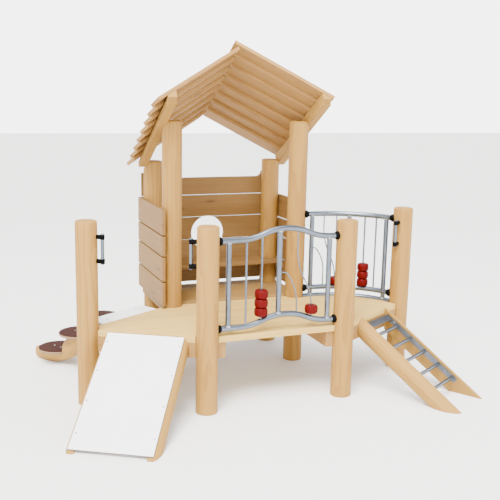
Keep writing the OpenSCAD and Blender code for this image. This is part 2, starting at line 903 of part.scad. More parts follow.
// Side outline of the space below the treads, stepped from seat to seat
module stair_outline() {
    polygon([
        [0, 0],
        [far, 0],
        for (i = [0 : 2]) each [
            [i == 0 ? far : riser_x(i - 1), tread_top(i) - tread_t - touch],
            [riser_x(i), tread_top(i) - tread_t - touch]
        ],
        [riser_x(2), deck_top],
        [0, deck_top]
    ]);
}

// Swept log with a sawn seat under each tread, flat where it lies on the ground
module stair_log() {
    color("burlywood") from_centre() off_side(house_left, left_tip) intersection() {
        translate([deck_margin + touch, 0, stair_high]) rotate([90, 0, 0]) bent_tube(stair_log_d / 2, [
            [0, stair_level - deck_margin],
            [stair_r, -stair_turn],
            [0, stair_mid],
            [stair_r, stair_turn],
            [0, stair_tail]
        ]);
        translate([0, stair_log_d, 0]) rotate([90, 0, 0]) linear_extrude(2 * stair_log_d) stair_outline();
    }
}

module stair_treads() {
    color("saddlebrown") from_centre() off_side(house_left, left_tip) for (i = [0 : 2]) {
        translate([tread_x(i), 0, tread_top(i) - tread_t]) {
            cylinder(d = tread_d, h = tread_t - tread_bevel);
            translate([0, 0, tread_t - tread_bevel])
                cylinder(d1 = tread_d, d2 = tread_d - 2 * tread_bevel, h = tread_bevel);
        }
    }
}

module entry_plate() {
    color("white") from_centre() off_side(house_left, left_tip)
        translate([deck_margin + touch, -entry_l / 2, deck_top - panel_t]) cube([entry_w, entry_l, panel_t]);
}

module entry_bearers() {
    color("tan") from_centre() off_side(house_left, left_tip) for (y = bearer_y) {
        translate([deck_margin + touch, y, deck_top - panel_t - touch - bearer_h])
            cube([entry_w - bearer_inset, bearer_w, bearer_h]);
    }
}

// ---- grab bars and screws --------------------------------------------------

// Repeats its children on the posts beside the ramp and beside the ladder,
// with X pointing across the way in
module at_grab_posts() {
    along(left_tip, front_left) children();
    along(front_left, left_tip) children();
    along(front_right, right_tip) children();
    along(right_tip, front_right) children();
}

module grab_bars() {
    color("silver") from_centre() at_grab_posts()
        translate([grab_x, 0, grab_z - grab_gap / 2 - grab_over])
            cylinder(d = grab_d, h = grab_gap + 2 * grab_over);
}

module grab_feet() {
    color("black") from_centre() at_grab_posts() for (side = [-1, 1]) {
        translate([0, 0, grab_z + side * grab_gap / 2]) difference() {
            union() {
                rotate([0, 90, 0]) cylinder(d = foot_d, h = grab_x);
                translate([grab_x, 0, -foot_d / 2]) cylinder(d = foot_d, h = foot_d);
            }
            translate([0, 0, -foot_d]) cylinder(r = post_r + touch, h = 2 * foot_d);
            translate([grab_x, 0, -foot_d]) cylinder(d = grab_d + touch, h = 2 * foot_d);
        }
    }
}

// Round screw head standing on z = 0
module screw_head() {
    cylinder(d = screw_d, h = screw_h - 1);
    translate([0, 0, screw_h - 1]) cylinder(d1 = screw_d, d2 = screw_d - 3, h = 1);
}

module screw_heads() {
    color("gray") from_centre() {
        down_slope(left_tip, front_left) for (x = ramp_screw_x) {
            for (side = [-1, 1]) translate([x, side * (ramp_w / 2 - ramp_screw_in), 0]) screw_head();
        }
        off_side(house_left, left_tip) for (y = plate_screw_y) {
            for (x = plate_screw_x) translate([deck_margin + x, y, deck_top]) screw_head();
        }
        off_side(house_left, left_tip) for (i = [0 : 2]) {
            for (x = tread_screw_x) translate([tread_x(i) + x, 0, tread_top(i)]) screw_head();
        }
        for (side = [-1, 1]) on_hand(side) for (i = [0 : len(side_courses) - 1]) {
            for (y = [side < 0 ? house_left.y : house_right.y + wall_right_start + batten / 2, rear_left.y]) {
                z = wall_base + stacked(side_courses, side_gap, i) + side_courses[i] / 2;
                translate([wall_x + wall_t, y, z]) rotate([0, 90, 0]) screw_head();
            }
        }
        for (x = [rear_left.x, rear_right.x]) for (i = [0 : len(rear_courses)]) {
            z = wall_base + stacked(rear_courses, rear_gap, i) + rear_screw_z;
            translate([x, rear_y + wall_t, z]) rotate([-90, 0, 0]) screw_head();
        }
        down_slope(front_right, right_tip) for (side = [-1, 1]) for (x = strip_bolt_x) {
            translate([x, side * (ladder_log_gap / 2 - touch - strip_t), strip_bolt_z])
                rotate([side * 90, 0, 0]) screw_head();
        }
    }
}

post_left_tip();
post_front_left();
post_front_right();
post_right_tip();
post_house_left();
post_house_right();
post_rear_left();
post_rear_right();
joists();
beam_ramp();
beam_ladder();
beam_side();
beam_stair();
deck_planks();
floor_planks();
wall_left();
wall_right();
wall_batten();
wall_rear();
wall_rear_top();
bench_seat();
bench_cleats();
roof_left();
roof_right();
eaves();
front_rail_top();
front_rail_low();
front_uprights();
front_bars();
front_wires();
front_sockets();
front_bead_low();
front_bead_mid();
front_bead_high();
front_bead_wave();
side_rail_top();
side_rail_low();
side_rail_toe();
side_uprights();
side_bars();
side_wires();
side_sockets();
side_bead_low();
side_bead_mid();
side_bead_high();
side_bead_wave();
ramp_panel();
ramp_log_left();
ramp_log_right();
ladder_log_left();
ladder_log_right();
ladder_strips();
ladder_rungs();
stair_log();
stair_treads();
entry_plate();
entry_bearers();
grab_bars();
grab_feet();
screw_heads();
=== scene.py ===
"""Timber playground climbing unit: finishes, softened timber, turned fittings, floor, light and camera."""

import json
import logging
import math
import random
import zlib
from dataclasses import dataclass, field
from enum import Enum
from typing import Callable, Iterable, Sequence

import bmesh
import bpy
from mathutils import Matrix, Vector

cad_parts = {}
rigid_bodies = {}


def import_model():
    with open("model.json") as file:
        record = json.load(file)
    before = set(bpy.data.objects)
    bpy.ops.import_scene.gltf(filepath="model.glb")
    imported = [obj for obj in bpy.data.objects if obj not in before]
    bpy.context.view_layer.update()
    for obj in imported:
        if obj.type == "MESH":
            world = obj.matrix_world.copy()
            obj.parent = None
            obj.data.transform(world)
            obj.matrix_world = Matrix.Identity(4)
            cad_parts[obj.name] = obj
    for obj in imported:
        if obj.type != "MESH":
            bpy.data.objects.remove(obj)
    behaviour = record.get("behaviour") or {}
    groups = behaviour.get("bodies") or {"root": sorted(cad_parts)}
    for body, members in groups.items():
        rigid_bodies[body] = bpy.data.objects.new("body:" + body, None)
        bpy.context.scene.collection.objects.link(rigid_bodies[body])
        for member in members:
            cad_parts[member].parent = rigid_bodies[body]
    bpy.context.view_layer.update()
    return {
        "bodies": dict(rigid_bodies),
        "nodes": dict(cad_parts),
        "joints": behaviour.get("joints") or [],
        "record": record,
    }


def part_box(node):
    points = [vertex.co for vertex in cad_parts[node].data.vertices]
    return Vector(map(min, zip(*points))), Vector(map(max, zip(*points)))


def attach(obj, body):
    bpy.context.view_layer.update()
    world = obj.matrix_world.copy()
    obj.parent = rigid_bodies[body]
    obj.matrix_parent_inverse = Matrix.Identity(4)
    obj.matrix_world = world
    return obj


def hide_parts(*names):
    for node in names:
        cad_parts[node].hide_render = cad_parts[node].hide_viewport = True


LOG = logging.getLogger("climbing_unit")

Colour = tuple[float, float, float]


class Axis(Enum):
    """Directions that timber grain runs in, in the unit's own frame."""

    ALONG_X = (1.0, 0.0, 0.0)
    ALONG_Y = (0.0, 1.0, 0.0)
    UPRIGHT = (0.0, 0.0, 1.0)


class Body(Enum):
    """The fixed structure that nearly everything is fastened to."""

    FRAME = "frame"


# ---- shader building ---------------------------------------------------------


class Signal:
    """One number or vector that flows through a material, with Python's operators."""

    def __init__(self, sheet: "NodeSheet", socket: bpy.types.NodeSocket) -> None:
        """Wrap a socket.

        Args:
            sheet: the node sheet that the socket belongs to.
            socket: the output socket.
        """
        self.sheet = sheet
        self.socket = socket

    def _math(self, operation: str, first: "Number", second: "Number" = 0.0) -> "Signal":
        """Add one Math node.

        Args:
            operation: the Math node's operation.
            first: its first value or link.
            second: its second value or link.

        Returns:
            The result.
        """
        return self.sheet.add("ShaderNodeMath", {"operation": operation}, {0: first, 1: second})

    def __add__(self, other: "Number") -> "Signal":
        """Sum."""
        return self._math("ADD", self, other)

    def __radd__(self, other: "Number") -> "Signal":
        """Sum, reflected."""
        return self._math("ADD", other, self)

    def __sub__(self, other: "Number") -> "Signal":
        """Difference."""
        return self._math("SUBTRACT", self, other)

    def __rsub__(self, other: "Number") -> "Signal":
        """Difference, reflected."""
        return self._math("SUBTRACT", other, self)

    def __mul__(self, other: "Number") -> "Signal":
        """Product."""
        return self._math("MULTIPLY", self, other)

    def __rmul__(self, other: "Number") -> "Signal":
        """Product, reflected."""
        return self._math("MULTIPLY", other, self)

    def __truediv__(self, other: "Number") -> "Signal":
        """Quotient."""
        return self._math("DIVIDE", self, other)

    def __pow__(self, other: "Number") -> "Signal":
        """Power."""
        return self._math("POWER", self, other)

    def fraction(self) -> "Signal":
        """What is left after the whole part."""
        return self._math("FRACT", self)

    def root(self) -> "Signal":
        """Square root."""
        return self._math("SQRT", self)

    def between(self, low: float, high: float) -> "Signal":
        """Smooth step from 0 at low to 1 at high.

        Args:
            low: the value that gives 0.
            high: the value that gives 1, which may be the smaller one.

        Returns:
            The stepped value.
        """
        settings = {"interpolation_type": "SMOOTHSTEP"}
        if low <= high:
            return self.sheet.add("ShaderNodeMapRange", settings, {"Value": self, 1: low, 2: high})
        rising = self.sheet.add("ShaderNodeMapRange", settings, {"Value": self, 1: high, 2: low})
        return 1.0 - rising


Number = Signal | float
Link = Signal | float | Sequence[float]


class NodeSheet:
    """The node tree of one new material."""

    def __init__(self, name: str) -> None:
        """Start an empty material.

        Args:
            name: the material's name.
        """
        self.material = bpy.data.materials.new(name)
        self.material.use_nodes = True
        self.tree = self.material.node_tree
        self.tree.nodes.clear()

    def add(
        self,
        kind: str,
        settings: dict[str, object] | None = None,
        inputs: dict[str | int, Link] | None = None,
        output: str | int = 0,
    ) -> Signal:
        """Add any node.

        Args:
            kind: the node's type.
            settings: its properties.
            inputs: values or links for its sockets, by name or place.
            output: which of its outputs is wanted.

        Returns:
            That output.
        """
        node = self.tree.nodes.new(kind)
        for key, value in (settings or {}).items():
            setattr(node, key, value)
        for key, value in (inputs or {}).items():
            socket = node.inputs[key]
            if isinstance(value, Signal):
                self.tree.links.new(value.socket, socket)
            else:
                socket.default_value = value
        return Signal(self, node.outputs[output])

    def place(self) -> Signal:
        """The point on the piece, in the unit's frame."""
        return self.add("ShaderNodeTexCoord", output="Object")

    def attribute(self, name: str, output: str = "Fac") -> Signal:
        """A value stored on the piece's points.

        Args:
            name: the attribute's name.
            output: "Fac" for a number or "Vector".

        Returns:
            The value.
        """
        return self.add("ShaderNodeAttribute", {"attribute_name": name}, output=output)

    def stretch(self, vector: Signal, scale: Sequence[float]) -> Signal:
        """Scale a vector by parts.

        Args:
            vector: the vector.
            scale: a factor for each part.

        Returns:
            The scaled vector.
        """
        return self.add("ShaderNodeMapping", {"vector_type": "POINT"}, {"Vector": vector, "Scale": scale})

    def noise(self, vector: Signal, scale: float, detail: float = 3.0, rough: float = 0.5) -> Signal:
        """Soft noise from 0 to 1.

        Args:
            vector: where it is looked up.
            scale: its frequency.
            detail: its octaves.
            rough: how strong the finer octaves are.

        Returns:
            The noise.
        """
        inputs = {"Vector": vector, "Scale": scale, "Detail": detail, "Roughness": rough}
        return self.add("ShaderNodeTexNoise", None, inputs)

    def blend(self, share: Number, first: Link, second: Link) -> Signal:
        """Mix two colours.

        Args:
            share: how much of the second one shows.
            first: a colour or link.
            second: a colour or link.

        Returns:
            The mixed colour.
        """
        settings = {"data_type": "RGBA", "blend_type": "MIX", "clamp_factor": True}
        return self.add("ShaderNodeMix", settings, {0: share, 6: rgba(first), 7: rgba(second)}, 2)

    def bump(self, height: Signal, distance: float, strength: float = 1.0) -> Signal:
        """A normal from a height.

        Args:
            height: the height, 0 to 1.
            distance: metres that a height of 1 stands for.
            strength: how much of it shows.

        Returns:
            The normal.
        """
        inputs = {"Height": height, "Distance": distance, "Strength": strength}
        return self.add("ShaderNodeBump", None, inputs)

    def finish(self, inputs: dict[str | int, Link]) -> bpy.types.Material:
        """Close the material with its shader.

        Args:
            inputs: the shader's sockets.

        Returns:
            The material.
        """
        shader = self.add("ShaderNodeBsdfPrincipled", None, inputs)
        surface = self.tree.nodes.new("ShaderNodeOutputMaterial").inputs["Surface"]
        self.tree.links.new(shader.socket, surface)
        return self.material


def rgba(value: Link) -> Link:
    """Give a plain colour its fourth part.

    Args:
        value: a link, or a colour of three or four parts.

    Returns:
        The link, or a colour of four parts.
    """
    if isinstance(value, (Signal, float)) or len(value) == 4:
        return value
    return (*value, 1.0)


# ---- finishes ----------------------------------------------------------------


@dataclass(frozen=True)
class WoodFinish:
    """Softwood with growth rings, fibres, small knots and board-to-board variation.

    It reads the point attribute "grain", metres from the board's pith with the
    first part along the fibres, and the attribute "board", 0 to 1 for each board.
    """

    name: str
    light: Colour
    late: Colour
    deep: Colour
    ring_pitch: float = 0.011
    ring_share: float = 0.5
    spread: float = 0.35
    knots: float = 0.5
    rough: float = 0.62
    relief: float = 0.0008

    def material(self) -> bpy.types.Material:
        """Build the material.

        Returns:
            The material.
        """
        sheet = NodeSheet(self.name)
        grain = sheet.attribute("grain", "Vector")
        board = sheet.attribute("board")
        drift = sheet.noise(sheet.stretch(grain, (0.8, 5.0, 5.0)), 1.0, 2.0)
        sway = sheet.noise(sheet.stretch(grain, (1.1, 4.0, 4.0)), 1.7, 2.0)
        parts = sheet.tree.nodes.new("ShaderNodeSeparateXYZ")
        sheet.tree.links.new(grain.socket, parts.inputs[0])
        across = Signal(sheet, parts.outputs[1]) + (drift - 0.5) * 0.05
        through = Signal(sheet, parts.outputs[2]) + (sway - 0.5) * 0.05
        radius = (across * across + through * through).root()
        wobble = sheet.noise(sheet.stretch(grain, (2.0, 24.0, 24.0)), 1.0, 2.0)
        phase = (radius / self.ring_pitch + wobble * 0.9).fraction()
        ring = phase.between(0.25, 0.95) * phase.between(1.0, 0.95)
        fibre = sheet.noise(sheet.stretch(grain, (9.0, 330.0, 330.0)), 1.0, 3.0, 0.6)
        streak = sheet.noise(sheet.stretch(grain, (1.4, 46.0, 46.0)), 1.0, 2.0)
        cloud = sheet.noise(sheet.stretch(grain, (2.5, 9.0, 9.0)), 1.0, 2.0)
        cell = sheet.add(
            "ShaderNodeTexVoronoi",
            {"feature": "F1"},
            {"Vector": sheet.stretch(grain, (2.6, 13.0, 13.0)), "Scale": 1.0, "Randomness": 1.0},
            "Distance",
        )
        knot = cell.between(0.15, 0.05) * self.knots
        halo = cell.between(0.34, 0.1) * self.knots * 0.35
        tone = ring * self.ring_share + fibre.between(0.42, 0.75) * 0.22 + streak.between(0.45, 0.8) * 0.3
        colour = sheet.blend(tone, self.light, self.late)
        shade = board * self.spread + cloud.between(0.5, 0.85) * 0.25 + halo
        colour = sheet.blend(shade, colour, self.deep)
        colour = sheet.blend(knot, colour, tuple(0.42 * part for part in self.deep))
        height = 1.0 - ring * 0.45 - fibre * 0.5
        return sheet.finish(
            {
                "Base Color": colour,
                "Roughness": self.rough + fibre * 0.16 - ring * 0.05,
                "Specular IOR Level": 0.35,
                "Normal": sheet.bump(height, self.relief, 0.7),
            }
        )


@dataclass(frozen=True)
class SteelFinish:
    """Satin stainless steel or galvanised fittings."""

    name: str
    base: Colour
    dull: Colour
    rough: float = 0.32
    scale: float = 60.0

    def material(self) -> bpy.types.Material:
        """Build the material.

        Returns:
            The material.
        """
        sheet = NodeSheet(self.name)
        place = sheet.place()
        cloud = sheet.noise(place, 9.0, 3.0)
        fine = sheet.noise(place, self.scale * 12.0, 2.0, 0.7)
        spangle = sheet.add(
            "ShaderNodeTexVoronoi", {"feature": "F1"}, {"Vector": place, "Scale": self.scale}, "Distance"
        )
        share = cloud.between(0.35, 0.75) * 0.6 + spangle * 0.25
        return sheet.finish(
            {
                "Base Color": sheet.blend(share, self.base, self.dull),
                "Metallic": 1.0,
                "Roughness": self.rough + cloud * 0.12 + fine * 0.06,
                "Normal": sheet.bump(fine, 0.0002, 0.3),
            }
        )


@dataclass(frozen=True)
class PlasticFinish:
    """Moulded or pressed plastic with a faint surface texture and scuffs."""

    name: str
    base: Colour
    scuffed: Colour
    rough: float = 0.4
    texture: float = 900.0
    relief: float = 0.0001
    coat: float = 0.0
    shine: float = 0.25

    def material(self) -> bpy.types.Material:
        """Build the material.

        Returns:
            The material.
        """
        sheet = NodeSheet(self.name)
        place = sheet.place()
        cloud = sheet.noise(place, 7.0, 4.0, 0.6)
        scuff = sheet.noise(sheet.stretch(place, (30.0, 180.0, 60.0)), 1.0, 3.0, 0.7).between(0.58, 0.78)
        pebble = sheet.noise(place, self.texture, 2.0)
        share = cloud.between(0.4, 0.8) * 0.35 + scuff * 0.3
        return sheet.finish(
            {
                "Base Color": sheet.blend(share, self.base, self.scuffed),
                "Roughness": self.rough + scuff * 0.12 + cloud * 0.05,
                "Coat Weight": self.coat,
                "Coat Roughness": 0.08,
                "Specular IOR Level": self.shine,
                "Normal": sheet.bump(pebble, self.relief, 0.5),
            }
        )


@dataclass(frozen=True)
class PanelFinish:
    """Pressed laminate panel: smooth faces over a dark core that shows on its edges.

    It reads the point attribute "core", 1 on the edges and 0 on the faces.
    """

    name: str
    face: Colour
    worn: Colour
    core: Colour
    rough: float = 0.33
    relief: float = 0.00012
    shine: float = 0.5

    def material(self) -> bpy.types.Material:
        """Build the material.

        Returns:
            The material.
        """
        sheet = NodeSheet(self.name)
        place = sheet.place()
        core = sheet.attribute("core").between(0.3, 0.7)
        cloud = sheet.noise(place, 3.0, 4.0, 0.6)
        scratch = sheet.noise(sheet.stretch(place, (16.0, 220.0, 16.0)), 1.0, 3.0, 0.7).between(0.6, 0.72)
        grit = sheet.noise(place, 420.0, 2.0, 0.6)
        face = sheet.blend(cloud.between(0.35, 0.75) * 0.5 + scratch * 0.25, self.face, self.worn)
        edge = sheet.blend(grit, self.core, tuple(1.6 * part for part in self.core))
        return sheet.finish(
            {
                "Base Color": sheet.blend(core, face, edge),
                "Roughness": self.rough + core * 0.25 + scratch * 0.1 + grit * 0.05,
                "Specular IOR Level": self.shine,
                "Normal": sheet.bump(grit, self.relief, 0.4),
            }
        )


@dataclass
class Palette:
    """Every material of the unit, built once."""

    wood: dict[str, bpy.types.Material] = field(default_factory=dict)
    other: dict[str, bpy.types.Material] = field(default_factory=dict)

    def build(self) -> "Palette":
        """Build all materials.

        Returns:
            The palette itself.
        """
        woods = (
            WoodFinish(
                "post_wood",
                light=(0.361, 0.196, 0.037),
                late=(0.266, 0.125, 0.019),
                deep=(0.284, 0.140, 0.023),
                ring_pitch=0.012,
                ring_share=0.7,
                spread=0.45,
                knots=0.25,
            ),
            WoodFinish(
                "frame_wood",
                light=(0.334, 0.185, 0.050),
                late=(0.246, 0.117, 0.027),
                deep=(0.255, 0.125, 0.031),
                ring_pitch=0.010,
                ring_share=0.45,
                spread=0.4,
                knots=0.5,
            ),
            WoodFinish(
                "deck_wood",
                light=(0.580, 0.389, 0.104),
                late=(0.490, 0.284, 0.061),
                deep=(0.515, 0.320, 0.081),
                ring_pitch=0.013,
                ring_share=0.4,
                spread=0.4,
                knots=0.35,
            ),
            WoodFinish(
                "floor_wood",
                light=(0.278, 0.158, 0.041),
                late=(0.212, 0.107, 0.026),
                deep=(0.217, 0.113, 0.028),
                ring_pitch=0.012,
                ring_share=0.45,
                spread=0.4,
                knots=0.4,
            ),
            WoodFinish(
                "wall_wood",
                light=(0.232, 0.125, 0.033),
                late=(0.166, 0.079, 0.018),
                deep=(0.170, 0.083, 0.020),
                ring_pitch=0.011,
                ring_share=0.5,
                spread=0.5,
                knots=0.7,
            ),
            WoodFinish(
                "roof_wood",
                light=(0.361, 0.197, 0.054),
                late=(0.258, 0.123, 0.029),
                deep=(0.258, 0.130, 0.032),
                ring_pitch=0.011,
                ring_share=0.5,
                spread=0.55,
                knots=0.5,
            ),
            WoodFinish(
                "eave_wood",
                light=(0.361, 0.196, 0.037),
                late=(0.270, 0.129, 0.020),
                deep=(0.284, 0.144, 0.025),
                ring_pitch=0.011,
                ring_share=0.45,
                spread=0.3,
                knots=0.3,
            ),
            WoodFinish(
                "log_wood",
                light=(0.365, 0.204, 0.038),
                late=(0.275, 0.132, 0.021),
                deep=(0.293, 0.151, 0.026),
                ring_pitch=0.012,
                ring_share=0.42,
                spread=0.3,
                knots=0.3,
            ),
        )
        for finish in woods:
            self.wood[finish.name] = finish.material()
        self.other = {
            "steel": SteelFinish(
                "steel",
                base=(0.17, 0.195, 0.235),
                dull=(0.10, 0.12, 0.15),
                rough=0.24,
            ).material(),
            "screw_steel": SteelFinish(
                "screw_steel",
                base=(0.40, 0.40, 0.41),
                dull=(0.24, 0.24, 0.25),
                rough=0.38,
                scale=200.0,
            ).material(),
            "black_plastic": PlasticFinish(
                "black_plastic",
                base=(0.001, 0.001, 0.001),
                scuffed=(0.003, 0.003, 0.003),
                rough=0.5,
                texture=900.0,
                relief=0.0001,
                coat=0.0,
                shine=0.05,
            ).material(),
            "red_bead": PlasticFinish(
                "red_bead",
                base=(0.085, 0.0, 0.0),
                scuffed=(0.06, 0.0, 0.0),
                rough=0.5,
                texture=500.0,
                relief=0.00004,
                coat=0.03,
                shine=0.08,
            ).material(),
            "white_panel": PanelFinish(
                "white_panel",
                face=(0.90, 0.91, 0.93),
                worn=(0.84, 0.85, 0.88),
                core=(0.085, 0.055, 0.04),
            ).material(),
            "brown_panel": PanelFinish(
                "brown_panel",
                face=(0.030, 0.009, 0.006),
                worn=(0.046, 0.016, 0.011),
                core=(0.19, 0.12, 0.075),
                rough=0.7,
                relief=0.0003,
                shine=0.08,
            ).material(),
        }
        return self


# ---- making pieces -----------------------------------------------------------


class Workshop:
    """Turns meshes into finished pieces that ride on a body and stand for CAD nodes."""

    def __init__(self, frame: dict[str, dict], palette: Palette) -> None:
        """Keep what every piece needs.

        Args:
            frame: the loaded frame.
            palette: the materials.
        """
        self.nodes: dict[str, bpy.types.Object] = frame["nodes"]
        self.palette = palette

    def merged_copy(self, node: str) -> bmesh.types.BMesh:
        """Copy a CAD node's mesh with its loose triangles joined into whole faces.

        Args:
            node: the CAD node's name.

        Returns:
            The joined mesh.
        """
        bm = bmesh.new()
        bm.from_mesh(self.nodes[node].data)
        bmesh.ops.remove_doubles(bm, verts=bm.verts[:], dist=2e-5)
        bmesh.ops.dissolve_limit(
            bm,
            angle_limit=math.radians(0.4),
            use_dissolve_boundaries=False,
            verts=bm.verts[:],
            edges=bm.edges[:],
        )
        return bm

    @staticmethod
    def islands(bm: bmesh.types.BMesh) -> list[list[bmesh.types.BMVert]]:
        """Group a mesh's points by the loose part that they belong to.

        Args:
            bm: the mesh.

        Returns:
            The points of each part, in order of their first point.
        """
        seen: set[bmesh.types.BMVert] = set()
        groups: list[list[bmesh.types.BMVert]] = []
        for start in bm.verts:
            if start in seen:
                continue
            seen.add(start)
            group, front = [], [start]
            while front:
                vert = front.pop()
                group.append(vert)
                for edge in vert.link_edges:
                    other = edge.other_vert(vert)
                    if other not in seen:
                        seen.add(other)
                        front.append(other)
            groups.append(group)
        return groups

    @staticmethod
    def soften(bm: bmesh.types.BMesh, width: float, segments: int = 2, over: float = 32.0) -> None:
        """Round the sharp edges of a mesh.

        Args:
            bm: the mesh.
            width: how far the rounding reaches from an edge, in metres.
            segments: steps across it.
            over: the angle in degrees above which an edge is sharp.
        """
        sharp = [
            edge
            for edge in bm.edges
            if len(edge.link_faces) == 2 and edge.calc_face_angle(0.0) > math.radians(over)
        ]
        bmesh.ops.bevel(
            bm,
            geom=sharp,
            offset=width,
            offset_type="OFFSET",
            affect="EDGES",
            segments=segments,
            profile=0.5,
            clamp_overlap=True,
            material=-1,
        )

    def piece(
        self,
        name: str,
        bm: bmesh.types.BMesh,
        material: bpy.types.Material,
        slot: str,
        body: str = Body.FRAME.value,
        nodes: Sequence[str] = (),
        crease: float = 24.0,
    ) -> bpy.types.Object:
        """slot: the record's material slot; not used.
            body: the body that it rides on.
            nodes: the CAD nodes that it stands for.
            crease: the angle in degrees above which shading isn't smooth.

        Returns:
            The piece.
        """
        mesh = bpy.data.meshes.new(name)
        bm.to_mesh(mesh)
        bm.free()
        for face in mesh.polygons:
            face.use_smooth = True
        mesh.set_sharp_from_angle(angle=math.radians(crease))
        mesh.materials.append(material)
        piece = bpy.data.objects.new(name, mesh)
        bpy.context.scene.collection.objects.link(piece)
        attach(piece, body)
        if nodes:
            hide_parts(*nodes)
        LOG.info("%s: %d faces on %s", name, len(mesh.polygons), body)
        return piece

    def dress(self, node: str, material: bpy.types.Material) -> None:
        """Give a carried-over CAD node its finish.

        Args:
            node: the CAD node's name.
            material: its finish.
        """
        mesh = self.nodes[node].data
        mesh.materials.clear()
        mesh.materials.append(material)
        LOG.info("%s: dressed as %s", node, material.name)


@dataclass
class Timber:
    """Softens the edges of a wooden CAD node and lays grain through each of its boards."""

    shop: Workshop
    edge: float = 0.003
    pith_near: float = 0.03
    pith_far: float = 0.11

    def cut(
        self,
        node: str,
        finish: str,
        along: Vector,
        edge: float | None = None,
        pith: tuple[float, float] | None = None,
    ) -> bpy.types.Object:
        """Make the softened piece that stands for a node.

        Args:
            node: the CAD node's name.
            finish: the wood finish, which is also the material slot.
            along: the direction of the fibres.
            edge: the width of the rounded edges, where it isn't the usual one.
            pith: the nearest and farthest that the pith lies from a board's middle.

        Returns:
            The piece.
        """
        bm = self.shop.merged_copy(node)
        self._lay_grain(bm, node, along.normalized(), pith or (self.pith_near, self.pith_far))
        self.shop.soften(bm, self.edge if edge is None else edge)
        return self.shop.piece(
            f"{node}_timber", bm, self.shop.palette.wood[finish], finish, nodes=(node,)
        )

    def _lay_grain(
        self, bm: bmesh.types.BMesh, node: str, along: Vector, pith: tuple[float, float]
    ) -> None:
        """Store the grain place and a board number on every point.

        Args:
            bm: the mesh.
            node: the CAD node's name, which seeds the boards' differences.
            along: the unit direction of the fibres.
            pith: the nearest and farthest that the pith lies from a board's middle.
        """
        grain = bm.verts.layers.float_vector.new("grain")
        board = bm.verts.layers.float.new("board")
        side = along.cross(Vector((0.0, 0.0, 1.0)))
        if side.length < 0.1:
            side = Vector((0.0, 1.0, 0.0))
        side.normalize()
        up = along.cross(side).normalized()
        luck = random.Random(zlib.crc32(node.encode()))
        for group in self.shop.islands(bm):
            middle = sum((vert.co for vert in group), Vector()) / len(group)
            lean = luck.uniform(0.0, math.tau)
            reach = luck.uniform(*pith)
            shift = Vector((luck.uniform(0.0, 40.0), reach * math.cos(lean), reach * math.sin(lean)))
            tone = luck.random()
            for vert in group:
                place = vert.co - middle
                vert[grain] = Vector((place.dot(along), place.dot(side), place.dot(up))) + shift
                vert[board] = tone


class Turned:
    """Round parts spun from a profile."""

    @staticmethod
    def ring(
        profile: Iterable[tuple[float, float]], steps: int, closed: bool
    ) -> bmesh.types.BMesh:
        """Spin a profile of radius and height about the upright axis.

        Args:
            profile: points as (radius, height), from the bottom up.
            steps: faces around.
            closed: whether the last point joins the first one, as on a ring.

        Returns:
            The spun mesh, with its faces outwards.
        """
        bm = bmesh.new()
        verts = [bm.verts.new((radius, 0.0, height)) for radius, height in profile]
        edges = [bm.edges.new(pair) for pair in zip(verts, verts[1:])]
        if closed:
            edges.append(bm.edges.new((verts[-1], verts[0])))
        bmesh.ops.spin(
            bm,
            geom=verts + edges,
            cent=(0.0, 0.0, 0.0),
            axis=(0.0, 0.0, 1.0),
            angle=math.tau,
            steps=steps,
            use_merge=True,
            use_duplicate=False,
        )
        bmesh.ops.remove_doubles(bm, verts=bm.verts[:], dist=1e-6)
        bmesh.ops.recalc_face_normals(bm, faces=bm.faces[:])
        return bm

    @staticmethod
    def arc(
        middle: tuple[float, float], radius: float, start: float, end: float, steps: int
    ) -> list[tuple[float, float]]:
        """Points on an arc of a profile.

        Args:
            middle: the arc's centre.
            radius: its radius.
            start: its first angle in degrees.
            end: its last angle in degrees.
            steps: how many parts it has.

        Returns:
            The points.
        """
        points = []
        for step in range(steps + 1):
            turn = math.radians(start + (end - start) * step / steps)
            points.append((middle[0] + radius * math.cos(turn), middle[1] + radius * math.sin(turn)))
        return points

    @staticmethod
    def aim(place: Vector, direction: Vector) -> Matrix:
        """The turn and shift that put an upright part at a place, pointing a given way.

        Args:
            place: where the part's origin goes.
            direction: where its upright axis points.

        Returns:
            The matrix.
        """
        turn = Vector((0.0, 0.0, 1.0)).rotation_difference(direction.normalized())
        return Matrix.Translation(place) @ turn.to_matrix().to_4x4()

    @staticmethod
    def gather(parts: Iterable[tuple[bmesh.types.BMesh, Matrix]]) -> bmesh.types.BMesh:
        """Put several meshes together in one.

        Args:
            parts: meshes, which are freed, and their matrices.

        Returns:
            The joined mesh.
        """
        whole = bmesh.new()
        for part, matrix in parts:
            bmesh.ops.transform(part, matrix=matrix, verts=part.verts[:])
            mesh = bpy.data.meshes.new("part")
            part.to_mesh(mesh)
            part.free()
            whole.from_mesh(mesh)
            bpy.data.meshes.remove(mesh)
        return whole


# ---- the unit's layout -------------------------------------------------------


